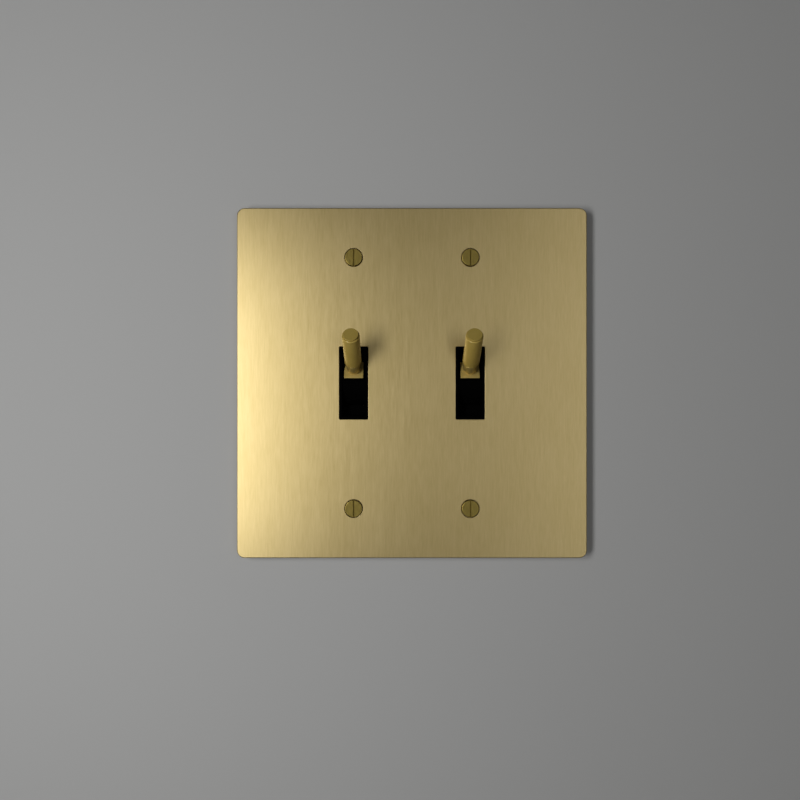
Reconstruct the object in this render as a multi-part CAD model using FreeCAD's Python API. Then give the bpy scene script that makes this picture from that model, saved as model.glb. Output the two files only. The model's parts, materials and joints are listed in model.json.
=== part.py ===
import FreeCAD, Part
import math
import os

# A brass dolly switch for a two gang wall box, in millimetres.
# The plate stands in the XZ plane and faces -Y, and +Z is up. The wall's surface is y = 0,
# and the origin is the centre of the plate on it. Each switch has its own pivot, strap and housing.
# At rest both dollies point up, which is the closed, or on, position.

# Faceplate and the ring behind it
gang_pitch = 46.0
plate_w = 138.0
plate_h = 138.0
plate_t = 3.0
plate_corner_r = 3.0
plate_edge_c = 0.3
slot_w = 11.5
slot_h = 28.75
slot_corner_r = 0.4
slot_edge_c = 0.3
frame_inset = 3.0
frame_wall = 6.0
frame_t = 2.4
frame_strap_gap = 0.2

# Screws that hold the plate to the straps
plate_screw_z = 49.5
plate_screw_head_d = 6.8
plate_screw_head_t = 2.2
plate_screw_sunk = 1.5
plate_screw_seat_gap = 0.3
plate_screw_reach = 13.4
driver_slot_w = 0.5
driver_slot_deep = 1.0
driver_slot_long = 10.0
screw_d = 3.5
screw_clear = 0.15
thread_clear = 0.05

# How far a cutting shape runs past what it cuts, and how far a tapped hole runs past its screw
over = 1.0
tap_run = 0.5

# Lever, along its own axis from the pivot
lever_tilt = 30.6
pivot_depth = 10.9
foot_side = 7.6
foot_face = 10.4
foot_deep = 4.4
foot_clear = 0.05
neck_d_foot = 4.4
neck_d_sleeve = 5.8
neck_len = 6.0
core_d = 4.0
core_clear = 0.05
sleeve_d = 6.6
sleeve_len = 17.55
sleeve_c = 0.35
cap_d = 5.9
cap_t = 0.6
cap_thread_d = 2.4
cap_thread_len = 5.0

# Slot liner, which is the moulded front cover of the housing
liner_gap = 0.1
liner_wall = 1.0
liner_sunk = 0.35
cover_t = 3.0
cheek_t = 2.6
cheek_r = 5.0
cheek_root = 7.0

# Cradle, which turns with the lever
barrel_r = 10.0
barrel_gap = 0.35
cradle_side_gap = 0.15
hub_r = 4.5
cam_angle = 135.6
cam_reach = 9.0
cam_nose_r = 1.2
cam_w = 5.0
pin_d = 3.0
pin_press = 0.02
pin_run = 0.05
pin_short = 0.1
washer_d = 6.6
washer_t = 0.55
washer_gap = 0.02
washer_recess_d = 7.2
washer_recess = 0.46

# Housing
body_w = 33.0
body_h = 60.0
body_deep = 25.0
body_wall = 2.0
body_corner_r = 2.0
post_side = 7.0
rivet_in = 5.5
rivet_d = 3.0
rivet_head_d = 5.4
rivet_head_t = 0.7
rivet_clear = 0.05
boss_reach = 6.0
boss_side = 8.0
shelf_t = 3.0

# Contact arm and what it works against
arm_t = 0.8
arm_w = 6.0
arm_gap = 0.3
arm_ratio = 0.13
arm_foot_in = 12.0
arm_post_gap = 5.0
trunnion_d = 2.4
trunnion_gap = 0.06
curl_end = 320.0
contact_in = 2.5
contact_d = 4.0
moving_contact_t = 1.0
fixed_contact_t = 0.8
contact_closed_gap = 0.02
contact_shank_d = 2.0
leaf_t = 0.4
leaf_w = 5.0
leaf_below_contact = 3.5
leaf_pad = 11.0
leaf_bend_r = 1.2
leaf_fall = 9.0
leaf_gap = 0.05
spigot_d = 3.0
spigot_below_bend = 6.0
spigot_reach = 1.2

# Terminals and their screws
strip_t = 1.0
strip_clear = 0.05
line_leg_w = 7.0
line_leg_past = 3.0
line_strip_h = 6.0
line_tab_in = 13.0
line_tab_deep = 10.0
common_web_w = 8.0
common_strip_y0 = 18.0
common_strip_y1 = 24.0
tab_h = 10.0
tab_side = 1.0
terminal_head_d = 7.0
terminal_head_t = 2.2
terminal_reach = 6.0

# Strap and the screws through it
strap_t = 1.2
strap_len = 107.5
strap_mid_past = 4.0
strap_ear_w = 20.0
strap_ear_r = 4.0
strap_hole_gap = 0.3
strap_collar_d = 5.5
strap_collar = 1.3
box_screw_z = 41.67
box_slot_w = 4.2
box_slot_len = 6.5
box_slot_r = 2.0
box_head_d = 8.0
box_head_t = 1.0
box_neck_d = 2.8
box_neck_len = 3.0
box_screw_reach = 22.0
retainer_side = 9.0
retainer_t = 0.8
ground_tab_x = 9.5
ground_tab_w = 9.0
ground_tab_deep = 9.0
ground_tab_gap = 2.3
ground_head_d = 6.5
ground_head_t = 1.8
ground_reach = 2.9

# Places worked out from the sizes above
plate_back = -frame_t
plate_front = plate_back - plate_t
pivot_y = plate_front + pivot_depth
sleeve_from = foot_face + neck_len
sleeve_to = sleeve_from + sleeve_len
liner_w = slot_w - 2 * liner_gap
liner_h = slot_h - 2 * liner_gap
tunnel_w = liner_w - 2 * liner_wall
tunnel_h = liner_h - 2 * liner_wall
liner_front = plate_front + liner_sunk
cradle_w = tunnel_w - 2 * cradle_side_gap
body_front = cover_t
body_back = body_front + body_deep
cavity_back = body_back - body_wall
cavity_x = body_w / 2 - body_wall
cavity_z = body_h / 2 - body_wall
rivet_z = body_h / 2 - rivet_in
post_z = rivet_z - post_side / 2
arm_pivot_z = arm_foot_in - body_h / 2
arm_top_z = post_z - arm_post_gap
contact_z = arm_top_z - contact_in
leaf_top_z = contact_z - leaf_below_contact
spigot_z = leaf_top_z - spigot_below_bend
line_leg_z = contact_z - line_leg_past
line_tab_z = body_h / 2 - line_tab_in
line_strip_z0 = line_tab_z - line_strip_h / 2
line_strip_z1 = line_tab_z + line_strip_h / 2
strap_mid_len = body_h + 2 * strap_mid_past
travel = 2 * lever_tilt
arm_lift = arm_ratio * travel
AX = FreeCAD.Vector(1, 0, 0)
AY = FreeCAD.Vector(0, 1, 0)
AZ = FreeCAD.Vector(0, 0, 1)
PIVOT = FreeCAD.Vector(0, pivot_y, 0)


def box(x0, x1, y0, y1, z0, z1):
    """A block between two corners."""
    return Part.makeBox(x1 - x0, y1 - y0, z1 - z0, FreeCAD.Vector(x0, y0, z0))


def rod(r, start, end):
    """A round bar between two points."""
    a = FreeCAD.Vector(*start)
    b = FreeCAD.Vector(*end)
    return Part.makeCylinder(r, (b - a).Length, a, b - a)


def plate(w, h, r, y0, y1, x=0.0, z=0.0):
    """A flat sheet facing Y, w wide and h tall, with round corners."""
    slab = box(x - w / 2, x + w / 2, y0, y1, z - h / 2, z + h / 2)
    corners = [e for e in slab.Edges if e.BoundBox.YLength > (y1 - y0) / 2]
    return slab.makeFillet(r, corners)


def edges_at(shape, y, test=lambda p: True):
    """The edges that lie wholly on the plane at y and whose middle passes the test."""
    found = []
    for e in shape.Edges:
        b = e.BoundBox
        flat = abs(b.YMin - y) < 1e-4 and abs(b.YMax - y) < 1e-4
        if flat and test(b.Center):
            found.append(e)
    return found


def slotted(head, top, along, across):
    """A screw head with a driver slot, cut at the middle of its top and running along one axis."""
    size = along * driver_slot_long + across * driver_slot_w
    normal = FreeCAD.Vector(1, 1, 1) - along - across
    size = size + normal * (2 * driver_slot_deep)
    return head.cut(Part.makeBox(size.x, size.y, size.z, top - size * 0.5))


def faceplate():
    """The brass plate: slots and counterbored screw holes, every front edge broken."""
    sheet = plate(plate_w, plate_h, plate_corner_r, plate_front, plate_back)
    sheet = sheet.makeChamfer(plate_edge_c, edges_at(sheet, plate_front))
    for x in gang_x:
        sheet = sheet.cut(plate(slot_w, slot_h, slot_corner_r, plate_front - over, plate_back + over, x))
        rim = edges_at(sheet, plate_front, lambda p: math.hypot(p.x - x, p.z) < slot_h)
        sheet = sheet.makeChamfer(slot_edge_c, rim)
        for z in (plate_screw_z, -plate_screw_z):
            hole = rod(screw_d / 2 + screw_clear, (x, plate_front - over, z), (x, plate_back + over, z))
            seat_r = plate_screw_head_d / 2 + plate_screw_seat_gap
            seat = rod(seat_r, (x, plate_front - over, z), (x, plate_front + plate_screw_sunk, z))
            sheet = sheet.cut(hole).cut(seat)
    return sheet


def back_frame():
    """The black ring that holds the plate off the wall, cleared round the straps' ends."""
    w = plate_w - 2 * frame_inset
    h = plate_h - 2 * frame_inset
    ring = plate(w, h, plate_corner_r, plate_back, 0)
    inner_w = w - 2 * frame_wall
    inner_h = h - 2 * frame_wall
    ring = ring.cut(plate(inner_w, inner_h, plate_corner_r, plate_back - over, over))
    gap = frame_strap_gap
    for x in gang_x:
        clear_w = strap_ear_w + 2 * gap
        clear_len = strap_len + 2 * gap
        ring = ring.cut(plate(clear_w, clear_len, strap_ear_r, plate_back - over, over, x))
    return ring


def plate_screw(x, z):
    """A slotted screw whose head stands a little proud of the plate."""
    seat = plate_front + plate_screw_sunk
    top = seat - plate_screw_head_t
    head = rod(plate_screw_head_d / 2, (x, top, z), (x, seat, z))
    head = slotted(head, FreeCAD.Vector(x, top, z), AZ, AX)
    return head.fuse(rod(screw_d / 2, (x, seat, z), (x, plate_front + plate_screw_reach, z)))


def on_lever(shape):
    """Turn a shape built along +Z from the pivot to the lever's direction at rest."""
    shape.rotate(FreeCAD.Vector(0, 0, 0), AX, 90 - lever_tilt)
    shape.translate(PIVOT)
    return shape


def lever_stem():
    """The square foot, the tapered neck and the core that carries the sleeve, as one piece."""
    half = foot_side / 2
    foot = box(-half, half, -half, half, foot_face - foot_deep, foot_face)
    neck = Part.makeCone(neck_d_foot / 2, neck_d_sleeve / 2, neck_len, FreeCAD.Vector(0, 0, foot_face), AZ)
    core = rod(core_d / 2, (0, 0, sleeve_from), (0, 0, sleeve_to))
    tapped_from = sleeve_to - cap_thread_len - tap_run
    tapped = rod(cap_thread_d / 2 + thread_clear, (0, 0, tapped_from), (0, 0, sleeve_to))
    return on_lever(foot.fuse(neck).fuse(core).cut(tapped))


def lever_sleeve():
    """The turned sleeve, chamfered at both ends."""
    tube = rod(sleeve_d / 2, (0, 0, sleeve_from), (0, 0, sleeve_to))
    rims = [e for e in tube.Edges if e.Curve.TypeId == "Part::GeomCircle"]
    tube = tube.makeChamfer(sleeve_c, rims)
    bore = rod(core_d / 2 + core_clear, (0, 0, sleeve_from - over), (0, 0, sleeve_to + over))
    return on_lever(tube.cut(bore))


def lever_end_cap():
    """The disc on the tip, with the threaded stub that holds the sleeve on the core."""
    disc = rod(cap_d / 2, (0, 0, sleeve_to), (0, 0, sleeve_to + cap_t))
    stub = rod(cap_thread_d / 2, (0, 0, sleeve_to - cap_thread_len), (0, 0, sleeve_to))
    return on_lever(disc.fuse(stub))


def cradle():
    """Half a barrel that closes the slot, with a hub, a square pocket and the cam behind."""
    half = cradle_w / 2
    drum = rod(barrel_r, (-half, 0, 0), (half, 0, 0))
    drum = drum.common(box(-half, half, -barrel_r, barrel_r, 0, barrel_r))
    hub = rod(hub_r, (-half, 0, 0), (half, 0, 0))
    c = math.radians(cam_angle)
    nose = FreeCAD.Vector(0, -math.sin(c) * cam_reach, math.cos(c) * cam_reach)
    tip = rod(cam_nose_r, (-cam_w / 2, nose.y, nose.z), (cam_w / 2, nose.y, nose.z))
    web = box(-cam_w / 2, cam_w / 2, -cam_nose_r, cam_nose_r, 0, cam_reach)
    web.rotate(FreeCAD.Vector(0, 0, 0), AX, cam_angle)
    body = drum.fuse(hub).fuse(web).fuse(tip)
    side = foot_side / 2 + foot_clear
    body = body.cut(box(-side, side, -side, side, foot_face - foot_deep, barrel_r + over))
    body = body.cut(rod(pin_d / 2 + pin_run, (-half - over, 0, 0), (half + over, 0, 0)))
    recess = rod(washer_recess_d / 2, (half - washer_recess, 0, 0), (half + over, 0, 0))
    return on_lever(body.cut(recess))


def spring_washer():
    """The washer in the cradle's recess, which drags on one cheek and holds the dolly where it is put."""
    outer = tunnel_w / 2 - washer_gap
    ring = rod(washer_d / 2, (outer - washer_t, pivot_y, 0), (outer, pivot_y, 0))
    return ring.cut(rod(pin_d / 2 + pin_run, (0, pivot_y, 0), (outer + over, pivot_y, 0)))


def pivot_pin():
    """The steel pin across both cheeks."""
    half = tunnel_w / 2 + cheek_t - pin_short
    return rod(pin_d / 2, (-half, pivot_y, 0), (half, pivot_y, 0))


def slot_liner():
    """The moulded cover: a nose that lines the plate's slot, a flange, and two bearing cheeks."""
    flange = plate(body_w, body_h, body_corner_r, 0, cover_t)
    nose = plate(liner_w, liner_h, slot_corner_r - liner_gap, liner_front, cover_t)
    cover = flange.fuse(nose)
    tunnel = box(-tunnel_w / 2, tunnel_w / 2, liner_front - over, 0, -tunnel_h / 2, tunnel_h / 2)
    seat = rod(barrel_r + barrel_gap, (-tunnel_w / 2, pivot_y, 0), (tunnel_w / 2, pivot_y, 0))
    for s in (-1, 1):
        x0 = s * tunnel_w / 2
        x1 = x0 + s * cheek_t
        ear = rod(cheek_r, (x0, pivot_y, 0), (x1, pivot_y, 0))
        root = box(min(x0, x1), max(x0, x1), cover_t, pivot_y, -cheek_root, cheek_root)
        cover = cover.fuse(ear.fuse(root))
    cover = cover.cut(tunnel).cut(seat)
    reach = tunnel_w / 2 + cheek_t + over
    cover = cover.cut(rod(pin_d / 2 + pin_press, (-reach, pivot_y, 0), (reach, pivot_y, 0)))
    for x, z in rivet_places():
        cover = cover.cut(rod(rivet_d / 2 + rivet_clear, (x, -over, z), (x, cover_t + over, z)))
    return cover.removeSplitter()


def rivet_places():
    """Above and below the slot, where strap, cover and housing are riveted together."""
    return [(0, rivet_z), (0, -rivet_z)]


def terminal_places():
    """Height and depth of the line screw and of the common screw on the housing's side."""
    line_y = fixed_front + line_tab_deep / 2
    common_z = arm_pivot_z + tab_h / 2
    common_y = (common_strip_y0 + common_strip_y1) / 2
    return [(line_y, line_tab_z), (common_y, common_z)]


def body():
    """The moulded housing: a box open to the front, rivet posts, bosses and a spring spigot."""
    shell = plate(body_w, body_h, body_corner_r, body_front, body_back)
    shell = shell.cut(box(-cavity_x, cavity_x, body_front - over, cavity_back, -cavity_z, cavity_z))
    side = body_w / 2
    for s in (-1, 1):
        z0, z1 = sorted((s * post_z, s * (cavity_z + body_wall / 2)))
        shell = shell.fuse(box(-post_side / 2, post_side / 2, body_front, cavity_back, z0, z1))
    for y, z in terminal_places():
        y1 = y + boss_side / 2
        y0 = fixed_front + strip_t if z > 0 else y - boss_side / 2
        z0 = z - boss_side / 2
        shell = shell.fuse(box(cavity_x - boss_reach, cavity_x + over, y0, y1, z0, z + boss_side / 2))
    shelf_top = arm_pivot_z - strip_t / 2
    shelf_x = cavity_x - boss_reach
    shelf = box(shelf_x, cavity_x + over, common_strip_y0, cavity_back, shelf_top - shelf_t, shelf_top)
    shell = shell.fuse(shelf)
    spigot = rod(spigot_d / 2, (0, cavity_back - spigot_reach, spigot_z), (0, cavity_back + over, spigot_z))
    shell = shell.fuse(spigot)
    for y, z in terminal_places():
        end = side + strip_t - terminal_reach - tap_run
        shell = shell.cut(rod(screw_d / 2 + thread_clear, (end, y, z), (side + over, y, z)))
    c = strip_clear
    x0 = shelf_x - over
    x1 = side + over
    z0 = line_strip_z0 - c
    z1 = line_strip_z1 + c
    shell = shell.cut(box(x0, x1, fixed_front - c, fixed_front + strip_t, z0, z1))
    z1 = shelf_top + strip_t + c
    shell = shell.cut(box(x0, x1, common_strip_y0 - c, common_strip_y1 + c, shelf_top, z1))
    for x, z in rivet_places():
        shell = shell.cut(rod(rivet_d / 2 + rivet_clear, (x, body_front - over, z), (x, body_back + over, z)))
    return shell.removeSplitter()


def body_rivets():
    """Two rivets from the strap's front to the back of the housing."""
    out = []
    for x, z in rivet_places():
        shank = rod(rivet_d / 2, (x, -strap_t, z), (x, body_back, z))
        front = rod(rivet_head_d / 2, (x, -strap_t - rivet_head_t, z), (x, -strap_t, z))
        back = rod(rivet_head_d / 2, (x, body_back, z), (x, body_back + rivet_head_t, z))
        out.append(shank.fuse(front).fuse(back))
    return Part.makeCompound(out)


def line_terminal():
    """The upper bracket: an inner leg for the fixed contact, a strip through the wall, a tab."""
    side = body_w / 2
    y0 = fixed_front
    y1 = fixed_front + strip_t
    leg = box(-line_leg_w / 2, line_leg_w / 2, y0, y1, line_leg_z, line_strip_z1)
    strip = box(0, side + strip_t, y0, y1, line_strip_z0, line_strip_z1)
    tab = box(side, side + strip_t, y0, y0 + line_tab_deep, line_tab_z - tab_h / 2, line_tab_z + tab_h / 2)
    y, z = terminal_places()[0]
    bracket = leg.fuse(strip).fuse(tab)
    tapped = rod(screw_d / 2 + thread_clear, (side - over, y, z), (side + strip_t + over, y, z))
    bracket = bracket.cut(tapped)
    hole = rod(contact_shank_d / 2, (0, y0 - over, contact_z), (0, y1 + over, contact_z))
    return bracket.cut(hole).removeSplitter()


def common_terminal():
    """The lower bracket: the trunnion that the arm turns on, its web, a strip and a tab."""
    side = body_w / 2
    half = common_web_w / 2
    z0 = arm_pivot_z - strip_t / 2
    z1 = arm_pivot_z + strip_t / 2
    trunnion = rod(trunnion_d / 2, (-half, arm_pivot_y, arm_pivot_z), (half, arm_pivot_y, arm_pivot_z))
    web = box(-half, half, arm_pivot_y, common_strip_y1, z0, z1)
    strip = box(-half, side + strip_t, common_strip_y0, common_strip_y1, z0, z1)
    tab_y0 = common_strip_y0 - tab_side
    tab_y1 = common_strip_y1 + tab_side
    tab = box(side, side + strip_t, tab_y0, tab_y1, z0, z0 + tab_h)
    y, z = terminal_places()[1]
    bracket = trunnion.fuse(web).fuse(strip).fuse(tab)
    hole = rod(screw_d / 2 + thread_clear, (side - over, y, z), (side + strip_t + over, y, z))
    return bracket.cut(hole).removeSplitter()


def terminal_screws():
    """The two side screws, slotted across."""
    out = []
    side = body_w / 2 + strip_t
    for y, z in terminal_places():
        head = rod(terminal_head_d / 2, (side, y, z), (side + terminal_head_t, y, z))
        top = FreeCAD.Vector(side + terminal_head_t, y, z)
        head = slotted(head, top, AZ, AY)
        out.append(head.fuse(rod(screw_d / 2, (side - terminal_reach, y, z), (side, y, z))))
    return Part.makeCompound(out)


def contact_arm():
    """A flat blade whose lower end is curled round the trunnion."""
    r0 = trunnion_d / 2 + trunnion_gap
    r1 = r0 + arm_t
    half = arm_w / 2
    blade = box(-half, half, arm_front, arm_front + arm_t, arm_pivot_z, arm_top_z)
    curl = rod(r1, (-half, arm_pivot_y, arm_pivot_z), (half, arm_pivot_y, arm_pivot_z))
    a = math.radians(curl_end)
    far = 3 * r1
    corners = [
        (0, 0),
        (far * math.cos(a), far * math.sin(a)),
        (far, far),
        (-far, far),
        (-far, 0),
    ]
    points = [FreeCAD.Vector(-half, arm_pivot_y + y, arm_pivot_z + z) for y, z in corners]
    points.append(points[0])
    keep_off = Part.Face(Part.makePolygon(points)).extrude(AX * arm_w)
    curl = curl.cut(keep_off)
    arm = blade.fuse(curl)
    bore_half = half + over
    arm = arm.cut(rod(r0, (-bore_half, arm_pivot_y, arm_pivot_z), (bore_half, arm_pivot_y, arm_pivot_z)))
    back = arm_front + arm_t
    arm = arm.cut(rod(contact_shank_d / 2, (0, arm_front - over, contact_z), (0, back + over, contact_z)))
    return arm.removeSplitter()


def contact(face, away, t, through):
    """A riveted contact button: its head, and its shank through the carrier."""
    carrier = face + away * t
    head = rod(contact_d / 2, (0, face, contact_z), (0, carrier, contact_z))
    shank = rod(contact_shank_d / 2, (0, carrier, contact_z), (0, carrier + away * through, contact_z))
    return head.fuse(shank)


def arm_spring():
    """A bent leaf: a pad on the housing's back wall, a bend at its top, and a leg down to the arm."""
    r = leaf_bend_r
    back = cavity_back
    toe_y = arm_front + arm_t + leaf_gap
    run = (back - leaf_t - 2 * r) - toe_y
    lean = math.atan2(run, leaf_fall)
    top = FreeCAD.Vector(0, back - leaf_t / 2 - r, leaf_top_z)
    outer = r + leaf_t / 2
    inner = r - leaf_t / 2
    across = FreeCAD.Vector(0, math.cos(lean), -math.sin(lean))
    end_out = top - across * outer
    end_in = top - across * inner
    down = FreeCAD.Vector(0, -math.sin(lean), -math.cos(lean))
    leg = (end_out.y - toe_y) / math.sin(lean)
    toe_out = end_out + down * leg
    toe_in = end_in + down * leg
    pad_z = leaf_top_z - leaf_pad
    pad_out = FreeCAD.Vector(0, back, pad_z)
    pad_in = FreeCAD.Vector(0, back - leaf_t, pad_z)
    bend_out = FreeCAD.Vector(0, back, leaf_top_z)
    bend_in = FreeCAD.Vector(0, back - leaf_t, leaf_top_z)
    crown = FreeCAD.Vector(0, math.cos((math.pi - lean) / 2), math.sin((math.pi - lean) / 2))
    edges = [
        Part.makeLine(pad_in, pad_out),
        Part.makeLine(pad_out, bend_out),
        Part.Arc(bend_out, top + crown * outer, end_out).toShape(),
        Part.makeLine(end_out, toe_out),
        Part.makeLine(toe_out, toe_in),
        Part.makeLine(toe_in, end_in),
        Part.Arc(end_in, top + crown * inner, bend_in).toShape(),
        Part.makeLine(bend_in, pad_in),
    ]
    leaf = Part.Face(Part.Wire(edges)).extrude(AX * leaf_w)
    leaf.translate(FreeCAD.Vector(-leaf_w / 2, 0, 0))
    hole = rod(spigot_d / 2 + thread_clear, (0, back - leaf_t - over, spigot_z), (0, back + over, spigot_z))
    return leaf.cut(hole)


def strap():
    """The steel strap: a wide middle, narrower ears, collars, slots and the bent earth tab."""
    half = strap_mid_len / 2
    sheet = box(-body_w / 2, body_w / 2, -strap_t, 0, -half, half)
    sheet = sheet.fuse(plate(strap_ear_w, strap_len, strap_ear_r, -strap_t, 0))
    tab_z0 = body_h / 2 + ground_tab_gap
    tab_x0 = ground_tab_x - ground_tab_w / 2
    tab_z1 = tab_z0 + strap_t
    sheet = sheet.fuse(box(tab_x0, tab_x0 + ground_tab_w, -strap_t, ground_tab_deep, tab_z0, tab_z1))
    y = ground_tab_deep / 2
    tapped_z0 = tab_z0 - over
    tapped_z1 = tab_z1 + over
    tapped = rod(screw_d / 2 + thread_clear, (ground_tab_x, y, tapped_z0), (ground_tab_x, y, tapped_z1))
    sheet = sheet.cut(tapped)
    x1 = liner_w / 2 + strap_hole_gap
    z1 = liner_h / 2 + strap_hole_gap
    sheet = sheet.cut(box(-x1, x1, -strap_t - over, over, -z1, z1))
    for z in (plate_screw_z, -plate_screw_z):
        sheet = sheet.fuse(rod(strap_collar_d / 2, (0, -strap_t, z), (0, strap_collar, z)))
        hole = rod(screw_d / 2 + thread_clear, (0, -strap_t - over, z), (0, strap_collar + over, z))
        sheet = sheet.cut(hole)
    for z in (box_screw_z, -box_screw_z):
        sheet = sheet.cut(plate(box_slot_len, box_slot_w, box_slot_r, -strap_t - over, over, 0, z))
    for x, z in rivet_places():
        sheet = sheet.cut(rod(rivet_d / 2 + rivet_clear, (x, -strap_t - over, z), (x, over, z)))
    return sheet.removeSplitter()


def ground_screw():
    """The earth screw, standing on the bent tab."""
    z0 = body_h / 2 + ground_tab_gap + strap_t
    y = ground_tab_deep / 2
    head = rod(ground_head_d / 2, (ground_tab_x, y, z0), (ground_tab_x, y, z0 + ground_head_t))
    top = FreeCAD.Vector(ground_tab_x, y, z0 + ground_head_t)
    head = slotted(head, top, AX, AY)
    return head.fuse(rod(screw_d / 2, (ground_tab_x, y, z0 - ground_reach), (ground_tab_x, y, z0)))


def box_screw(x, z):
    """A thin-headed screw into the wall box, necked under the head so that the strap can keep it."""
    top = -strap_t - box_head_t
    head = rod(box_head_d / 2, (x, top, z), (x, -strap_t, z))
    head = slotted(head, FreeCAD.Vector(x, top, z), AX, AZ)
    neck = rod(box_neck_d / 2, (x, -strap_t, z), (x, box_neck_len - strap_t, z))
    return head.fuse(neck).fuse(rod(screw_d / 2, (x, box_neck_len - strap_t, z), (x, box_screw_reach, z)))


def screw_retainer(x, z):
    """A square of fibre round the box screw's neck, behind the strap."""
    half = retainer_side / 2
    pad = box(x - half, x + half, 0, retainer_t, z - half, z + half)
    return pad.cut(rod(box_neck_d / 2 + thread_clear, (x, -over, z), (x, retainer_t + over, z)))


def cam_front():
    """How far back the cam's nose reaches when the dolly is down, and at what height."""
    a = math.radians(180 - lever_tilt - (360 - cam_angle) + travel)
    return pivot_y + cam_reach * math.cos(a) + cam_nose_r, cam_reach * math.sin(a)


# The arm stands where the cam's nose, with the dolly down, comes within the arm gap of it
nose_y, nose_z = cam_front()
lift = math.radians(arm_lift)
curl_r = trunnion_d / 2 + trunnion_gap + arm_t
arm_pivot_y = nose_y + arm_gap + curl_r * math.cos(lift) - (nose_z - arm_pivot_z) * math.tan(lift)
arm_front = arm_pivot_y - curl_r
moving_front = arm_front - moving_contact_t
fixed_back = moving_front - contact_closed_gap - fixed_contact_t
fixed_front = fixed_back - strip_t

gang_x = (-gang_pitch / 2, gang_pitch / 2)
four_corners = [(x, sz) for x in gang_x for sz in (1, -1)]

switch_parts = {
    "slot_liner": slot_liner,
    "cradle": cradle,
    "spring_washer": spring_washer,
    "pivot_pin": pivot_pin,
    "lever_stem": lever_stem,
    "lever_sleeve": lever_sleeve,
    "lever_end_cap": lever_end_cap,
    "strap": strap,
    "body": body,
    "body_rivets": body_rivets,
    "line_terminal": line_terminal,
    "common_terminal": common_terminal,
    "terminal_screws": terminal_screws,
    "contact_arm": contact_arm,
    "moving_contact": lambda: contact(moving_front, 1, moving_contact_t, arm_t),
    "fixed_contact": lambda: contact(fixed_back + fixed_contact_t, -1, fixed_contact_t, strip_t),
    "arm_spring": arm_spring,
    "ground_screw": ground_screw,
}

nodes = {
    "faceplate": faceplate(),
    "back_frame": back_frame(),
    "plate_screws": Part.makeCompound([plate_screw(x, s * plate_screw_z) for x, s in four_corners]),
    "box_screws": Part.makeCompound([box_screw(x, s * box_screw_z) for x, s in four_corners]),
    "screw_retainers": Part.makeCompound([screw_retainer(x, s * box_screw_z) for x, s in four_corners]),
}
for name, make in switch_parts.items():
    for side, x in zip(("left", "right"), gang_x):
        piece = make()
        piece.translate(FreeCAD.Vector(x, 0, 0))
        nodes[name + "_" + side] = piece

os.makedirs("parts", exist_ok=True)
for name, shape in nodes.items():
    if not shape.isValid():
        print("not valid:", name)
    shape.exportStep("parts/" + name + ".step")
print("pivot", pivot_y, "arm pivot", arm_pivot_y, arm_pivot_z, "lift", arm_lift, "nodes", len(nodes))
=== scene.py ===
import json
import math

import bmesh
import bpy
import numpy as np
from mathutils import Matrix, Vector


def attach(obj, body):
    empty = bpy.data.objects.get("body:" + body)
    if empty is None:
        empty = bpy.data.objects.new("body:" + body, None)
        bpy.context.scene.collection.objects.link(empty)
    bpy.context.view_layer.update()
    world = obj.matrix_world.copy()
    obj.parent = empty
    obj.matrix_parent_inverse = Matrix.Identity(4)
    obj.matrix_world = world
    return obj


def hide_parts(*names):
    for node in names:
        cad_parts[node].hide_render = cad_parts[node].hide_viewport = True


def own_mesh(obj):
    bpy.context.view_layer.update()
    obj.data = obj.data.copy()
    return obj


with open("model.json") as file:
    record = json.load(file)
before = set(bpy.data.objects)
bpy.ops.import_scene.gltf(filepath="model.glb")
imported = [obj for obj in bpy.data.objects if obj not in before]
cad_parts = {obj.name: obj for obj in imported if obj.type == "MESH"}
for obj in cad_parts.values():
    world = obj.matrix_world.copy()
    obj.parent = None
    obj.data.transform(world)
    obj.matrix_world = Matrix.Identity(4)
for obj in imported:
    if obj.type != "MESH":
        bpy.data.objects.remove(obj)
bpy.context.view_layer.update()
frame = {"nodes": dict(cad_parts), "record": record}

MM = 0.001
SIDES = ("left", "right")
# Points closer than this, in metres, are one, and an edge sharper than this stays crisp
SAME_POINT = 2e-6
CREASE = math.radians(32)
# A face looks along a direction when the cosine between them is above this
ALIGNED = 0.9998

# Sizes in millimetres, as in the part, but for the slots' finer edge
GANG_X = {"left": -23.0, "right": 23.0}
PLATE = dict(half=69.0, corner=3.0, front=-5.4, back=-2.4, edge=0.3)
SLOT = dict(half_w=5.75, half_h=14.375, corner=0.4, edge=0.12)
SCREW_Z = 49.5
SCREW_HOLE = dict(seat_r=3.7, seat_deep=1.5, hole_r=1.9, edge=0.08)

# The levers, with places along them measured from the pivot
PIVOT_Y = 5.5
LEVER_TILT = 30.6
FOOT = dict(half=3.8, inner=2.1, back=6.0, face=10.4, edge=0.16, corner=0.25)
NECK = dict(foot_r=2.2, r=2.8, relief_r=2.2, sunk=10.2, foot=10.5, swell=11.6, relief=15.9, edge=0.2)
CORE = dict(r=2.0, end=33.8)
SLEEVE = dict(r=3.3, bore=2.05, start=16.4, end=33.85, lead=0.35, chamfer=0.25, edge=0.08)
CAP = dict(r=2.85, groove_r=2.25, under=34.15, top=34.55, edge=0.05)
STUB = dict(r=1.2, deep=0.2, length=5.0, start=33.9)
LIP = dict(half=4.3, inner=3.83, back=8.4, face=10.3, edge=0.12, corner=0.3)

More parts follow.
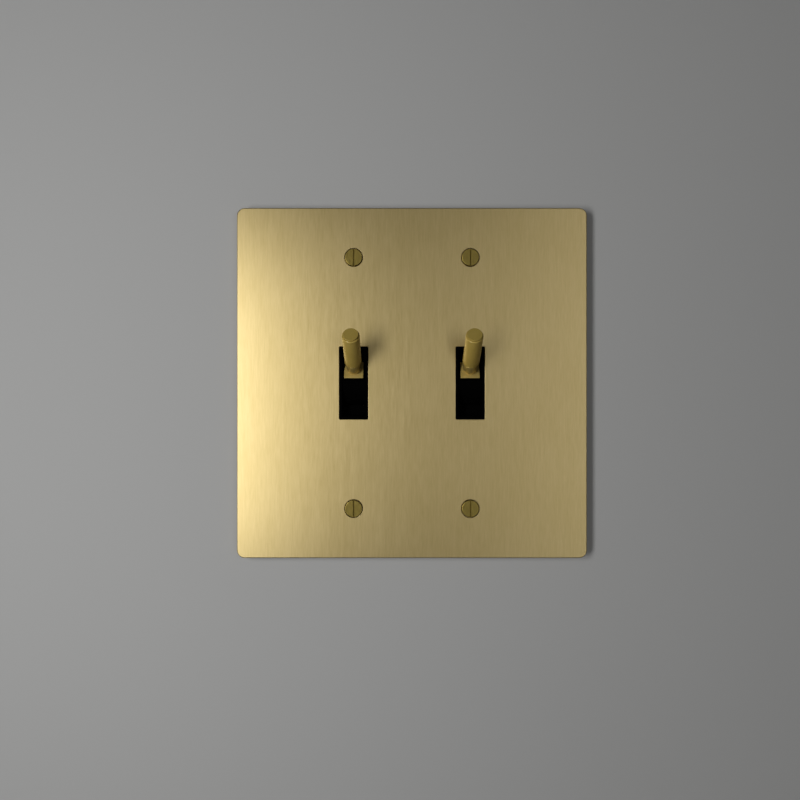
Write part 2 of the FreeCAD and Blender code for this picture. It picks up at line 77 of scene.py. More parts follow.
# Screws: heads, shanks and thread
PLATE_HEAD = dict(r=3.4, tall=2.2, slot_w=0.5, slot_deep=1.0, edge=0.2)
PLATE_HEAD_Y = -6.1
PLATE_SHANK = dict(neck=0.0, length=11.9)
BOX_HEAD = dict(r=4.0, tall=1.0, slot_w=0.8, slot_deep=0.6, edge=0.2)
BOX_HEAD_Y = -2.2
BOX_SCREW_Z = 41.67
BOX_SHANK = dict(neck=3.0, length=23.2)
SHANK_NECK_R = 1.4
THREAD = dict(r=1.75, deep=0.42)
TIP = dict(length=1.2, share=0.72)
PITCH = 0.794
OVERLAP = 0.05

# The opening in the wall behind the plate
OPENING = dict(half_w=48.0, half_h=51.5)

# Where the photograph was taken from, set against the middle of the plate
CAMERA_LEFT = 4.72 * MM
CAMERA_BELOW = 6.70 * MM
CAMERA_AWAY = 306.6 * MM
LENS = 35.0
SENSOR = 36.0


# Colours and shader nodes

def linear(hex_colour):
    """An sRGB hex colour as opaque linear light, by the standard curve."""
    parts = [int(hex_colour[i:i + 2], 16) / 255 for i in (0, 2, 4)]
    curve = [c / 12.92 if c <= 0.04045 else ((c + 0.055) / 1.055) ** 2.4 for c in parts]
    return (*curve, 1.0)


def add(tree, kind, settings=None, **links):
    """Adds one node: settings name its properties or sockets, links name the sockets that are fed,
    where i2 is the socket with number 2."""
    node = tree.nodes.new(kind)
    for name, value in (settings or {}).items():
        if name in node.inputs:
            node.inputs[name].default_value = value
        else:
            setattr(node, name, value)
    for name, source in links.items():
        key = int(name[1:]) if name[1:].isdigit() else name
        tree.links.new(source, node.inputs[key])
    return node


def new_material(name, **sockets):
    """A material with a principled shader whose sockets have the given values, and its tree."""
    made = bpy.data.materials.new(name)
    made.use_nodes = True
    tree = made.node_tree
    tree.nodes.clear()
    shader = tree.nodes.new("ShaderNodeBsdfPrincipled")
    output = tree.nodes.new("ShaderNodeOutputMaterial")
    tree.links.new(shader.outputs["BSDF"], output.inputs["Surface"])
    for key, value in sockets.items():
        shader.inputs[key.replace("_", " ")].default_value = value
    return made, tree, shader


def repeats(tree, size):
    """Object coordinates in which one step is size millimetres long on each axis."""
    coordinates = add(tree, "ShaderNodeTexCoord")
    mapping = add(tree, "ShaderNodeMapping", {"Scale": [1 / (length * MM) for length in size]},
                  Vector=coordinates.outputs["Object"])
    return mapping.outputs["Vector"]


def noise(tree, size, detail, rough=0.5):
    """Noise whose grains are size millimetres long on each axis."""
    made = add(tree, "ShaderNodeTexNoise", {"Scale": 1.0, "Detail": detail, "Roughness": rough},
               Vector=repeats(tree, size))
    return made.outputs["Fac"]


def blend(tree, share, a, b):
    """Two patterns mixed, with share of the second."""
    return add(tree, "ShaderNodeMix", {"data_type": "FLOAT", "Factor": share}, i2=a, i3=b).outputs[0]


def ramp(tree, source, low, high, start=0.3, end=0.7):
    """A colour from low to high, given as hex, as the pattern goes from start to end."""
    node = add(tree, "ShaderNodeValToRGB", Fac=source)
    for item, place, value in zip(node.color_ramp.elements, (start, end), (low, high)):
        item.position = place
        item.color = linear(value)
    return node.outputs["Color"]


def finish(tree, shader, colour, rough, height, strength, depth):
    """Feeds colour, a roughness range (pattern, low, high) and a bump that is depth millimetres high."""
    tree.links.new(colour, shader.inputs["Base Color"])
    pattern, low, high = rough
    limits = {"From Min": 0.3, "From Max": 0.7, "To Min": low, "To Max": high}
    spread = add(tree, "ShaderNodeMapRange", limits, Value=pattern)
    tree.links.new(spread.outputs["Result"], shader.inputs["Roughness"])
    bump = add(tree, "ShaderNodeBump", {"Strength": strength, "Distance": depth * MM}, Height=height)
    tree.links.new(bump.outputs["Normal"], shader.inputs["Normal"])


def along_grain(tree, shader):
    """Turns the gloss by the piece's own UV map, whose U runs across the grain of the metal."""
    tangent = add(tree, "ShaderNodeTangent", {"direction_type": "UV_MAP", "uv_map": "grain"})
    tree.links.new(tangent.outputs["Tangent"], shader.inputs["Tangent"])


def brushed_sheet_brass():
    """Sheet brass drawn upright under a fine belt, then lacquered.

    Short hair lines run up the plate, and its gloss spreads sideways into one long soft glow.
    The lacquer lays a thin pale sheen over the yellow metal.
    """
    made, tree, shader = new_material("brushed_sheet_brass", Metallic=1.0, Anisotropic=0.3,
                                      Coat_Weight=0.5, Coat_Roughness=0.3)
    # Hair lines 0.45 mm wide and 6 mm long, wider than the real ones so that they show
    hairs = noise(tree, (0.45, 3.0, 6.0), 3.0, 0.6)
    strokes = noise(tree, (1.6, 3.0, 22.0), 2.0, 0.5)
    clouds = noise(tree, (26.0, 26.0, 40.0), 2.0, 0.5)
    grain = blend(tree, 0.3, hairs, strokes)
    both = blend(tree, 0.22, grain, clouds)
    finish(tree, shader, ramp(tree, both, "B9A46B", "CAB580"), (grain, 0.345, 0.375), hairs, 0.06, 0.02)
    along_grain(tree, shader)
    return made


def turned_rod_brass(name, low, high, coat=0.3, metal=0.35, rough=0.56):
    """Free-cutting brass rod turned on a lathe, vapour blasted and lacquered.

    The blasting leaves fine pits that scatter most of the light, so that the lever shades softly
    round from left to right as a matt thing does, and the lacquer catches a thin line at its edges.
    Bare rod has no coat, more of the metal's own mirror and a lower roughness.
    """
    made, tree, shader = new_material(name, Metallic=metal, Anisotropic=0.2,
                                      Coat_Weight=coat, Coat_Roughness=0.12)
    rings = noise(tree, (0.5, 0.5, 0.5), 3.0, 0.6)
    clouds = noise(tree, (5.0, 5.0, 5.0), 2.0, 0.5)
    both = blend(tree, 0.5, rings, clouds)
    finish(tree, shader, ramp(tree, both, low, high), (both, rough, rough + 0.06), rings, 0.05, 0.01)
    along_grain(tree, shader)
    return made


def faced_brass(name, low, high):
    """Brass faced on a lathe, with fine marks from the tool: the same yellow metal, its colour painted darker
    than the plate's as painted shade, for heads that catch less light.
    """
    made, tree, shader = new_material(name, Metallic=1.0)
    marks = noise(tree, (0.3, 0.3, 1.5), 3.0, 0.6)
    finish(tree, shader, ramp(tree, marks, low, high), (marks, 0.32, 0.4), marks, 0.08, 0.01)
    return made


def moulded_black(name, low, high, gloss, rough):
    """Black nylon from a spark-eroded mould, with the faint even grain that it leaves.

    In the slots it is painted near pure black and all but without gloss, darker than black nylon is: the
    nylon's own black plus painted shade for the deep slots. The frame behind the plate is plain stock, with a
    soft shine along its edges.
    """
    made, tree, shader = new_material(name)
    shader.inputs["Specular IOR Level"].default_value = gloss
    grain = noise(tree, (0.35, 0.35, 0.35), 2.0)
    finish(tree, shader, ramp(tree, grain, low, high), (grain, rough, rough + 0.15), grain, 0.2, 0.02)
    return made


def phenolic():
    """Brown-black phenolic, pressed hot: low gloss, with paler specks of its wood-flour filler."""
    made, tree, shader = new_material("pressed_phenolic")
    specks = noise(tree, (0.5, 0.5, 0.5), 4.0, 0.7)
    flow = noise(tree, (9.0, 9.0, 20.0), 2.0)
    colour = ramp(tree, blend(tree, 0.35, specks, flow), "1D1A18", "322B26", 0.35, 0.75)
    finish(tree, shader, colour, (specks, 0.38, 0.5), specks, 0.15, 0.02)
    return made


def galvanised():
    """Hot-dipped steel strip: grey zinc in leafy patches of different gloss."""
    made, tree, shader = new_material("galvanised_strip_steel", Metallic=1.0)
    leaves = add(tree, "ShaderNodeTexVoronoi", {"Scale": 1.0, "Randomness": 1.0},
                 Vector=repeats(tree, (6.0, 6.0, 6.0))).outputs["Color"]
    shade = add(tree, "ShaderNodeSeparateColor", Color=leaves).outputs["Red"]
    fine = noise(tree, (0.8, 0.8, 0.8), 4.0)
    both = blend(tree, 0.4, shade, fine)
    colour = ramp(tree, both, "9DA1A4", "BFC3C6", 0.1, 0.9)
    finish(tree, shader, colour, (both, 0.34, 0.48), fine, 0.05, 0.02)
    return made


def satin_metal(name, low, high, rough, size=(3.0, 3.0, 3.0)):
    """A metal with a soft cloud of the given grain size in its colour and gloss."""
    made, tree, shader = new_material(name, Metallic=1.0)
    clouds = noise(tree, size, 3.0)
    colour = ramp(tree, clouds, low, high)
    finish(tree, shader, colour, (clouds, rough - 0.05, rough + 0.05), clouds, 0.05, 0.02)
    return made


def red_fibre():
    """Vulcanised fibre punched from sheet: dull brick red with a mottle of pressed paper."""
    made, tree, shader = new_material("punched_red_fibre")
    paper = noise(tree, (0.6, 0.25, 0.6), 4.0, 0.7)
    finish(tree, shader, ramp(tree, paper, "6A2A20", "8A3B2C"), (paper, 0.6, 0.75), paper, 0.3, 0.03)
    return made


MATERIALS = {
    "brushed_brass": brushed_sheet_brass(),
    "turned_brass": turned_rod_brass("blasted_rod_brass", "CAAE52", "D4B95E"),
    # Heads' brass painted darker than the plate's: painted shade, not a different metal
    "screw_brass": faced_brass("faced_screw_brass_painted_shade", "8E7C40", "9D8A48"),
    # Near pure black: the nylon's own black plus painted shade inside the slots
    "black_moulding": moulded_black("black_nylon_painted_shade", "010101", "030303", 0.02, 0.75),
    "housing_phenolic": phenolic(),
    "galvanised_steel": galvanised(),
    # Bright zinc plate on steel, faintly blue and cloudy
    "plated_steel": satin_metal("zinc_plated_steel", "A4A8AC", "BCC0C4", 0.3),
    # Blued strip, rolled, so that its clouds are drawn out along it
    "spring_steel": satin_metal("blued_spring_steel", "4C5158", "666C74", 0.3, (2.0, 2.0, 9.0)),
    # Stamped brass strip, bright from the press
    "terminal_brass": satin_metal("stamped_strip_brass", "CDB06A", "DEC382", 0.26, (1.5, 6.0, 1.5)),
    # Phosphor bronze, redder than brass, rolled along the arm
    "bronze_strip": satin_metal("rolled_phosphor_bronze", "C29464", "D4A878", 0.24, (0.6, 0.6, 7.0)),
    # Coined silver, white and bright
    "contact_silver": satin_metal("coined_contact_silver", "DCDBD6", "EDECE8", 0.2, (1.0, 1.0, 1.0)),
    "red_fibre": red_fibre(),
    # Zinc plate dyed green, as earth screws are
    "green_screw": satin_metal("green_dyed_zinc_plate", "2F7A46", "3D8F56", 0.32),
}

# Looks of single pieces, a little off that of their slot. The frame is shinier than the slots are
FRAME_BLACK = moulded_black("stock_black_nylon", "131313", "1C1C1C", 0.5, 0.42)
# The foot is of the same bar as the sleeve, milled square and a little paler
FOOT_BRASS = turned_rod_brass("blasted_foot_brass", "CCB262", "D7BD6E")
# The neck is left as turned, so that it mirrors the black slot and looks darker
NECK_BRASS = turned_rod_brass("bare_neck_brass", "D2B868", "DDC374", coat=0.0, metal=0.7, rough=0.36)

for item in frame["record"]["subparts"]:
    node = frame["nodes"][item["node"]]
    node.data.materials.clear()
    node.data.materials.append(MATERIALS[item["material_slot"]])
frame["nodes"]["back_frame"].data.materials[0] = FRAME_BLACK


# Surfaces: every grid is an array of rows x columns x 3 in millimetres

def round_rect(half_w, half_h, r, steps=8):
    """A closed outline: four quarter circles of radius r about the corner centres, joined by straight
    sides. Each point is centre + r (cos t, sin t), and the first comes again at the end."""
    t = np.linspace(0, math.pi / 2, steps + 1)
    quarter = np.arange(4)[:, None] * math.pi / 2
    angle = quarter + t
    signs = np.array([(1, 1), (-1, 1), (-1, -1), (1, -1)])
    centre = signs * (half_w - r, half_h - r)
    x = centre[:, :1] + r * np.cos(angle)
    z = centre[:, 1:] + r * np.sin(angle)
    loop = np.stack([x.ravel(), z.ravel()], -1)
    return np.vstack([loop, loop[:1]])


def quarter_round(r, steps=5):
    """How far an edge of radius r has come in, and how far up, as it turns through a right angle:
    r (1 - cos t) and r sin t."""
    t = np.linspace(0, math.pi / 2, steps + 1)
    return r * (1 - np.cos(t)), r * np.sin(t)


def stacked(loops):
    """Outlines of x and z points, each at its own y, as one grid."""
    return np.array([np.stack([p[:, 0], np.full(len(p), y), p[:, 1]], -1) for p, y in loops])


def rim(outline, edge, front, back, outward):
    """A wall with a rounded front edge, as an outline carried along that profile.

    outline(d) gives the outline moved outwards by d. The wall runs from back to edge behind the
    front, then turns through a quarter circle: outwards for a hole, inwards for an outer edge.
    """
    shift, rise = quarter_round(edge)
    rows = [(0.0, back)] + [(outward * s, front + edge - u) for s, u in zip(shift, rise)]
    return stacked([(outline(d), y) for d, y in rows])


def circle(r, count=64):
    """Points r (cos t, sin t) round a full turn, with the first again at the end."""
    t = np.linspace(0, 2 * math.pi, count + 1)
    return r * np.stack([np.cos(t), np.sin(t)], -1)


def revolved(profile, count=72):
    """A profile of radius and height turned about Z: each point goes to (r cos t, r sin t, h)."""
    t = np.linspace(0, 2 * math.pi, count + 1)
    r, h = np.asarray(profile, float).T
    return np.stack([np.outer(r, np.cos(t)), np.outer(r, np.sin(t)), np.repeat(h[:, None], count + 1, 1)], -1)


def softened(profile, r, steps=3):
    """A profile whose inner corners are cut by a curve that leaves each corner's two sides r before it,
    or at 0.45 of a short side: a weighted mean of side point, corner and side point, with weights
    (1-s)^2, 2s(1-s) and s^2."""
    p = np.asarray(profile, float)
    out = [p[:1]]
    s = np.linspace(0, 1, steps + 1)[:, None]
    for before, corner, after in zip(p[:-2], p[1:-1], p[2:]):
        a = before - corner
        b = after - corner
        a = corner + a * min(r / np.linalg.norm(a), 0.45)
        b = corner + b * min(r / np.linalg.norm(b), 0.45)
        out.append((1 - s) ** 2 * a + 2 * s * (1 - s) * corner + s ** 2 * b)
    return np.vstack(out + [p[-1:]])


def slotted_head(r, tall, slot_w, slot_deep, edge):
    """A screw head with a driver slot, top at height 0 and seat at -tall.

    Columns stand at x = r sin t across the slot, with two at each of its sides, where the height
    drops from 0 to -slot_deep. Rows run along the chord from -sqrt(r^2-x^2) to +sqrt(r^2-x^2).
    The side takes the same columns, out over a quarter-round edge and down to the seat.
    """
    top_r = r - edge
    reach = math.asin(slot_w / 2 / top_r)
    flank = np.linspace(-math.pi / 2, -reach, 22)
    floor = np.linspace(-reach, reach, 3)
    angle = np.concatenate([flank, floor, -flank[::-1]])
    low = np.concatenate([np.zeros(len(flank)), np.full(len(floor), -slot_deep), np.zeros(len(flank))])
    chord = np.cos(angle)
    v = np.linspace(-1, 1, 5)
    x = np.repeat(top_r * np.sin(angle)[:, None], len(v), 1)
    top = np.stack([x, np.outer(top_r * chord, v), np.repeat(low[:, None], len(v), 1)], -1)
    shift, rise = quarter_round(edge, 4)
    radii = np.concatenate([r - shift[::-1], [r, 0.0]])
    drop = np.concatenate([rise[::-1] - edge, [-tall, -tall]])
    height = np.where(low[:, None] < 0, np.minimum(low[:, None], drop), drop)
    grids = [top]
    for side in (1, -1):
        grids.append(np.stack([np.outer(np.sin(angle), radii), side * np.outer(chord, radii), height], -1))
    return grids


def threaded(r, deep, length, count=24):
    """A screw thread going down from height 0: radius r - deep * |2 f - 1|^0.8, where f is the
    fraction part of height / pitch + t / 2 pi. Its tip tapers evenly to TIP's share of that."""
    t = np.linspace(0, 2 * math.pi, count + 1)
    h = np.linspace(0, length, int(length / PITCH * 8) + 1)
    turn = (h[:, None] / PITCH + t / (2 * math.pi)) % 1.0
    above = np.clip((length - h) / TIP["length"], 0, 1)[:, None]
    taper = TIP["share"] + (1 - TIP["share"]) * above
    radius = (r - deep * np.abs(2 * turn - 1) ** 0.8) * taper
    radius = np.vstack([np.zeros((1, count + 1)), radius, np.zeros((1, count + 1))])
    h = np.concatenate([[0.0], h, [length]])
    return np.stack([radius * np.cos(t), radius * np.sin(t), -np.repeat(h[:, None], count + 1, 1)], -1)


def placed(grids, place, out, across):
    """Grids with local x across, y along and z out, moved to a place."""
    z = np.array(out, float)
    x = np.array(across, float)
    axes = np.array([x, np.cross(z, x), z])
    return [g @ axes + np.array(place, float) for g in grids]


def square_turned(profile, corner):
    """A profile of half side and height carried round a square with rounded corners."""
    loops = []
    for half, z in profile:
        loop = round_rect(max(half, 1e-6), max(half, 1e-6), min(corner, half / 2), 4)
        loops.append(np.stack([loop[:, 0], loop[:, 1], np.full(len(loop), z)], -1))
    return np.array(loops)


def on_lever(grids, side):
    """Grids built along +Z from the pivot, leaned towards the room to the lever's tilt, on one side."""
    a = math.radians(90 - LEVER_TILT)
    turn = np.array([(1, 0, 0), (0, math.cos(a), math.sin(a)), (0, -math.sin(a), math.cos(a))])
    return [g @ turn + (GANG_X[side], PIVOT_Y, 0) for g in grids]


# Pieces

UPRIGHT = ((1, 0, 0), (0, 1, 0), (0, 0, 1))


def quads(grids):
    """The four point numbers of every quad, where the grids' points are counted one grid after another."""
    faces = []
    start = 0
    for g in grids:
        rows, columns = g.shape[:2]
        k = np.arange(rows * columns).reshape(rows, columns) + start
        faces.append(np.stack([k[:-1, :-1], k[:-1, 1:], k[1:, 1:], k[1:, :-1]], -1).reshape(-1, 4))
        start += rows * columns
    return np.concatenate(faces)


def closed_mesh(name, grids, flat_at, flat_ways):
    """Joins grids into one closed mesh, in metres.

    Points that coincide are merged, and a flat face is filled between the open edges that lie at
    each y in flat_at. Faces that look along one of flat_ways are shaded flat, the rest smooth.
    """
    points = np.concatenate([g.reshape(-1, 3) for g in grids]) * MM
    mesh = bpy.data.meshes.new(name)
    mesh.from_pydata(points.tolist(), [], quads(grids).tolist())
    work = bmesh.new()
    work.from_mesh(mesh)
    bmesh.ops.remove_doubles(work, verts=work.verts, dist=SAME_POINT)
    bmesh.ops.dissolve_degenerate(work, dist=1e-7, edges=work.edges)
    for y in flat_at:
        loose = [e for e in work.edges if e.is_boundary and all(abs(v.co.y - y * MM) < 1e-6 for v in e.verts)]
        bmesh.ops.triangle_fill(work, edges=loose, use_beauty=True, normal=(0, -1, 0))
    bmesh.ops.recalc_face_normals(work, faces=work.faces)
    ways = [Vector(way).normalized() for way in flat_ways]
    smooth = [all(abs(f.normal.dot(way)) < ALIGNED for way in ways) for f in work.faces]
    open_edges = sum(e.is_boundary for e in work.edges)
    if open_edges:
        print("open edges", name, open_edges)
    work.to_mesh(mesh)
    work.free()
    mesh.set_sharp_from_angle(angle=CREASE)
    mesh.polygons.foreach_set("use_smooth", smooth)
    return mesh


def piece(name, grids, slot, nodes, body="root", flat_at=(), flat_ways=UPRIGHT):
    """One finished piece: a closed mesh that rides on its body and stands in for its nodes."""
    mesh = closed_mesh(name, grids, flat_at, flat_ways)
    mesh.materials.append(MATERIALS[slot])
    made = bpy.data.objects.new(name, mesh)
    bpy.context.scene.collection.objects.link(made)
    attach(made, body)
    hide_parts(*nodes)
    return made


def grain_map(made, across, up):
    """The grain map: U and V are how far a corner lies from the origin along two directions."""
    mesh = made.data
    layer = mesh.uv_layers.new(name="grain")
    corners = np.zeros(len(mesh.loops), int)
    mesh.loops.foreach_get("vertex_index", corners)
    points = np.zeros(len(mesh.vertices) * 3)
    mesh.vertices.foreach_get("co", points)
    points = points.reshape(-1, 3)[corners]
    u = points @ np.array(across, float)
    v = points @ np.array(up, float)
    layer.data.foreach_set("uv", np.stack([u, v], -1).ravel())


def faceplate():
    """The plate: an outer wall, two slots and four stepped holes, each an outline carried along a
    profile, with flat faces filled between them."""
    front = PLATE["front"]
    back = PLATE["back"]

    def outer(d):
        half = PLATE["half"] + d
        return round_rect(half, half, PLATE["corner"] + d)

    grids = [rim(outer, PLATE["edge"], front, back, -1)]
    for x in GANG_X.values():
        def slot(d, x=x):
            return round_rect(SLOT["half_w"] + d, SLOT["half_h"] + d, SLOT["corner"] + d, 4) + (x, 0)

        grids.append(rim(slot, SLOT["edge"], front, back, 1))
        for z in (SCREW_Z, -SCREW_Z):
            def seat(d, x=x, z=z):
                return circle(SCREW_HOLE["seat_r"] + d) + (x, z)

            floor = front + SCREW_HOLE["seat_deep"]
            grids.append(rim(seat, SCREW_HOLE["edge"], front, floor, 1))
            hole_r = SCREW_HOLE["hole_r"]
            ledge = [(SCREW_HOLE["seat_r"], floor), (hole_r, floor), (hole_r, back)]
            grids.append(stacked([(circle(r) + (x, z), y) for r, y in ledge]))
    made = piece("brushed_faceplate", grids, "brushed_brass", ["faceplate"], flat_at=(front, back))
    grain_map(made, (1, 0, 0), (0, 0, 1))


# The lever's pieces, each a profile of radius, or of half side, against the distance from the pivot

TILT = math.radians(LEVER_TILT)
RIGHT = (1, 0, 0)
ALONG = (0, -math.cos(TILT), math.sin(TILT))
ACROSS = (0, math.sin(TILT), math.cos(TILT))
SQUARE = (RIGHT, ALONG, ACROSS)


def lever_foot(side):
    """The square foot, which sits in the cradle's pocket."""
    half = FOOT["half"]
    back = FOOT["back"]
    face = FOOT["face"]
    profile = softened([(half, back), (half, face), (FOOT["inner"], face)], FOOT["edge"])
    profile = np.vstack([[(0.0, back)], profile, [(0.0, face)]])
    block = on_lever([square_turned(profile, FOOT["corner"])], side)
    made = piece("lever_foot_" + side, block, "turned_brass", ["lever_stem_" + side], "dolly_" + side,
                 flat_ways=SQUARE)
    made.data.materials[0] = FOOT_BRASS
    grain_map(made, ALONG, RIGHT)


def lever_neck_and_core(side):
    """The round neck, which swells from its foot and has a relief under the sleeve, and the core."""
    sunk = NECK["sunk"]
    foot_r = NECK["foot_r"]
    r = NECK["r"]
    relief = NECK["relief"]
    relief_r = NECK["relief_r"]
    start = SLEEVE["start"]
    core_r = CORE["r"]
    end = CORE["end"]
    profile = softened([(foot_r, sunk), (foot_r, NECK["foot"]), (r, NECK["swell"]), (r, relief),
                        (relief_r, relief), (relief_r, start), (core_r, start), (core_r, end)], NECK["edge"])
    profile = np.vstack([[(0.0, sunk)], profile, [(0.0, end)]])
    made = piece("lever_neck_and_core_" + side, on_lever([revolved(profile)], side), "turned_brass", [],
                 "dolly_" + side, flat_ways=(ALONG,))
    made.data.materials[0] = NECK_BRASS
    grain_map(made, ALONG, RIGHT)


def lever_sleeve(side):
    """The sleeve over the core, with a lead-in below and a chamfer at its end."""
    r = SLEEVE["r"]
    bore = SLEEVE["bore"]
    start = SLEEVE["start"]
    end = SLEEVE["end"]
    lead = SLEEVE["lead"]
    chamfer = SLEEVE["chamfer"]
    profile = softened([(bore, start), (r - lead, start), (r, start + lead), (r, end - chamfer),
                        (r - chamfer, end), (bore, end)], SLEEVE["edge"])
    profile = np.vstack([profile, profile[:1]])
    made = piece("lever_sleeve_tube_" + side, on_lever([revolved(profile, 96)], side), "turned_brass",
                 ["lever_sleeve_" + side], "dolly_" + side, flat_ways=(ALONG,))
    grain_map(made, ALONG, RIGHT)


def lever_end_disc(side):
    """The disc on the tip, over a narrower groove, and the threaded stub that holds it in the core."""
    r = CAP["r"]
    groove_r = CAP["groove_r"]
    under = CAP["under"]
    top = CAP["top"]
    edge = CAP["edge"]
    end = SLEEVE["end"]
    profile = softened([(0.0, end), (groove_r, end), (groove_r, under), (r, under), (r, top - edge),
                        (r - edge, top), (0.0, top)], edge)
    stub = threaded(STUB["r"], STUB["deep"], STUB["length"])
    stub[..., 2] += STUB["start"]
    made = piece("lever_end_disc_" + side, on_lever([revolved(profile, 96), stub], side), "turned_brass",
                 ["lever_end_cap_" + side], "dolly_" + side, flat_ways=(ALONG,))
    grain_map(made, RIGHT, ACROSS)


def cradle_lip(side):
    """The black rim of the cradle's pocket, which stands round the foot."""
    half = LIP["half"]
    inner = LIP["inner"]
    back = LIP["back"]
    face = LIP["face"]
    profile = softened([(half, back), (half, face), (inner, face), (inner, back)], LIP["edge"])
    profile = np.vstack([profile, profile[:1]])
    rim_round_foot = on_lever([square_turned(profile, LIP["corner"])], side)
    piece("cradle_lip_" + side, rim_round_foot, "black_moulding", [], "dolly_" + side, flat_ways=SQUARE)


def screws(name, node, slot, places, across, head, shank):
    """Slotted screws alike in one piece, which face the room: a head at each place, and under it a
    threaded shank that has a plain neck first where the screw has one."""
    neck = shank["neck"]
    tall = head["tall"]
    local = slotted_head(**head)
    rod = threaded(THREAD["r"], THREAD["deep"], shank["length"] - neck)
    rod[..., 2] -= tall - OVERLAP + neck
    local.append(rod)
    if neck:
        top = OVERLAP - tall
        bottom = -tall - neck - OVERLAP
        local.append(revolved([(0, top), (SHANK_NECK_R, top), (SHANK_NECK_R, bottom), (0, bottom)], 24))
    grids = []
    for place in places:
        grids += placed(local, place, (0, -1, 0), across)
    piece(name, grids, slot, [node])


def all_screws():
    """The four screws of the plate, and the four that hold the straps in the wall box."""
    spots = [(x, sign) for x in GANG_X.values() for sign in (1, -1)]
    plate = [(x, PLATE_HEAD_Y, sign * SCREW_Z) for x, sign in spots]
    box = [(x, BOX_HEAD_Y, sign * BOX_SCREW_Z) for x, sign in spots]
    screws("plate_screws_slotted", "plate_screws", "screw_brass", plate, (1, 0, 0), PLATE_HEAD, PLATE_SHANK)
    screws("box_screws_slotted", "box_screws", "plated_steel", box, (0, 0, 1), BOX_HEAD, BOX_SHANK)


def leaf_springs():
    """The bent leaves: copies of their solids, with coinciding points merged, fixed to the root."""
    for side in SIDES:
        node = frame["nodes"]["arm_spring_" + side]
        made = bpy.data.objects.new("leaf_spring_" + side, node.data.copy())
        bpy.context.scene.collection.objects.link(made)
        work = bmesh.new()
        work.from_mesh(made.data)
        bmesh.ops.remove_doubles(work, verts=work.verts, dist=SAME_POINT)
        work.to_mesh(made.data)
        work.free()
        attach(made, "root")
        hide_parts("arm_spring_" + side)
        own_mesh(made)


# Stage, lights and camera

def panel(name, corners, faces, colour, see_through_back=False):
    """A flat stage panel of one plain colour, which can vanish when looked at from behind."""
    mesh = bpy.data.meshes.new(name)
    mesh.from_pydata(corners, [], faces)
    made = bpy.data.objects.new(name, mesh)
    bpy.context.scene.collection.objects.link(made)
    paint, tree, shader = new_material(name + "_paint", Roughness=0.9)
    shader.inputs["Specular IOR Level"].default_value = 0.2
    shader.inputs["Base Color"].default_value = linear(colour)
    if see_through_back:
        clear = tree.nodes.new("ShaderNodeBsdfTransparent")
        side = tree.nodes.new("ShaderNodeNewGeometry")
        mix = add(tree, "ShaderNodeMixShader", None, Fac=side.outputs["Backfacing"],
                  i1=shader.outputs["BSDF"], i2=clear.outputs["BSDF"])
        output = next(n for n in tree.nodes if n.type == "OUTPUT_MATERIAL")
        tree.links.new(mix.outputs["Shader"], output.inputs["Surface"])
    mesh.materials.append(paint)


def stage():
    """A plain wall with an opening for the switches behind the plate, and a plain pale floor well below."""
    reach = 3.0
    floor_z = -0.6
    half_w = OPENING["half_w"] * MM
    half_h = OPENING["half_h"] * MM
    wall = [(-reach, 0, floor_z), (reach, 0, floor_z), (reach, 0, reach), (-reach, 0, reach)]
    wall += [(-half_w, 0, -half_h), (half_w, 0, -half_h), (half_w, 0, half_h), (-half_w, 0, half_h)]
    ring = [(k, (k + 1) % 4, (k + 1) % 4 + 4, k + 4) for k in range(4)]
    floor = [(sx * reach, sy * reach, floor_z) for sx, sy in ((-1, -1), (1, -1), (1, 1), (-1, 1))]
    panel("wall", wall, ring, "BCBCBB", see_through_back=True)
    panel("floor", floor, [(0, 1, 2, 3)], "D8D8D6")


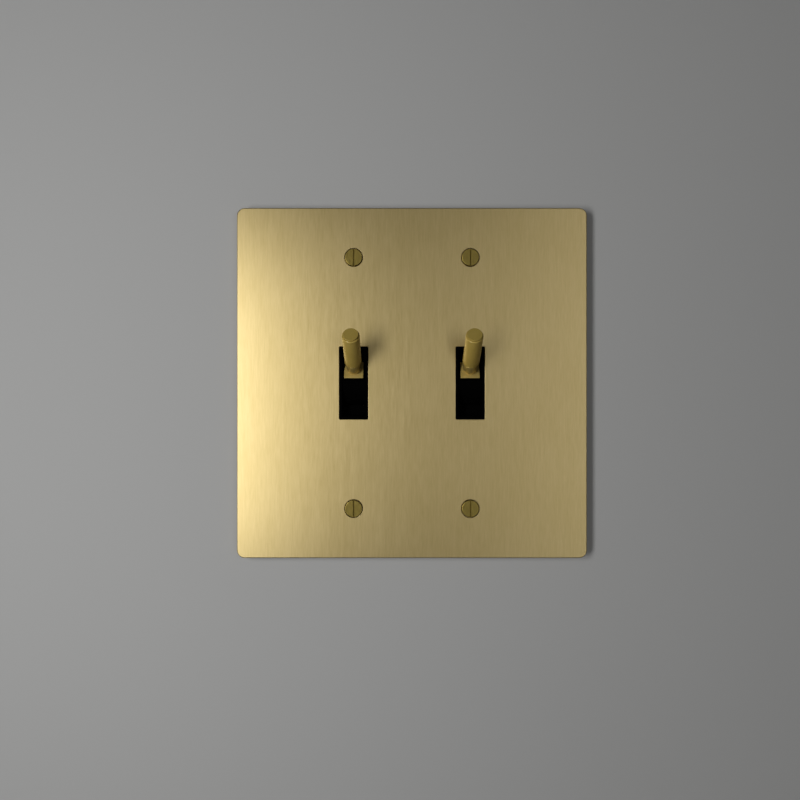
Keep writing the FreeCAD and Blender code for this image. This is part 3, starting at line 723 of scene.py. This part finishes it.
def area_light(name, azimuth, height, distance, width, tall, radiance, diffuse=True):
    """A soft panel that faces the plate: azimuth is degrees to the right, height degrees up, sizes in
    metres. Its power is radiance times pi times its area. Without diffuse it only shows in gloss."""
    a = math.radians(azimuth)
    e = math.radians(height)
    data = bpy.data.lights.new(name, "AREA")
    data.shape = "RECTANGLE"
    data.size = width
    data.size_y = tall
    data.energy = radiance * math.pi * width * tall
    lamp = bpy.data.objects.new(name, data)
    bpy.context.scene.collection.objects.link(lamp)
    away = Vector((math.sin(a) * math.cos(e), -math.cos(a) * math.cos(e), math.sin(e))) * distance
    lamp.location = away + Vector((0, PLATE["front"] * MM, 0))
    lamp.rotation_mode = "QUATERNION"
    lamp.rotation_quaternion = away.to_track_quat("Z", "Y")
    lamp.visible_diffuse = diffuse
    return lamp


def lights():
    """A strong soft panel on the left lights everything. A tall one on the right and a dim one in
    front only show in what is glossy, a wash lights the wall alone, two light what is behind the wall,
    and the room is dark."""
    area_light("key", azimuth=-31.8, height=-1.7, distance=0.5, width=0.116, tall=0.326, radiance=10.2)
    area_light("fill", azimuth=20.0, height=-1.3, distance=1.376, width=0.116, tall=1.32, radiance=3.65,
               diffuse=False)
    area_light("front", azimuth=0.0, height=0.0, distance=1.6, width=1.2, tall=1.2, radiance=0.18,
               diffuse=False)
    area_light("back", azimuth=205.0, height=32.0, distance=0.8, width=0.7, tall=0.7, radiance=4.5)
    area_light("back_low", azimuth=140.0, height=-8.0, distance=0.9, width=0.6, tall=0.6, radiance=2.2)
    wash = area_light("wash", azimuth=15.0, height=0.0, distance=1.6, width=1.2, tall=1.2, radiance=0.75)
    backdrop = bpy.data.collections.new("backdrop")
    backdrop.objects.link(bpy.data.objects["wall"])
    wash.light_linking.receiver_collection = backdrop
    world = bpy.data.worlds.new("room")
    world.use_nodes = True
    world.node_tree.nodes["Background"].inputs["Color"].default_value = linear("C8C8C8")
    world.node_tree.nodes["Background"].inputs["Strength"].default_value = 0.03
    bpy.context.scene.world = world


def camera():
    """The photograph's view: square to the wall, a little left of and below the plate's middle."""
    data = bpy.data.cameras.new("camera")
    data.lens = LENS
    data.sensor_width = SENSOR
    data.clip_start = 0.01
    made = bpy.data.objects.new("camera", data)
    bpy.context.scene.collection.objects.link(made)
    made.location = (-CAMERA_LEFT, PLATE["front"] * MM - CAMERA_AWAY, -CAMERA_BELOW)
    made.rotation_euler = (math.pi / 2, 0, 0)
    bpy.context.scene.camera = made


faceplate()
for which in SIDES:
    lever_foot(which)
    lever_neck_and_core(which)
    lever_sleeve(which)
    lever_end_disc(which)
    cradle_lip(which)
all_screws()
leaf_springs()
stage()
lights()
camera()
bpy.context.scene.view_settings.view_transform = "Standard"
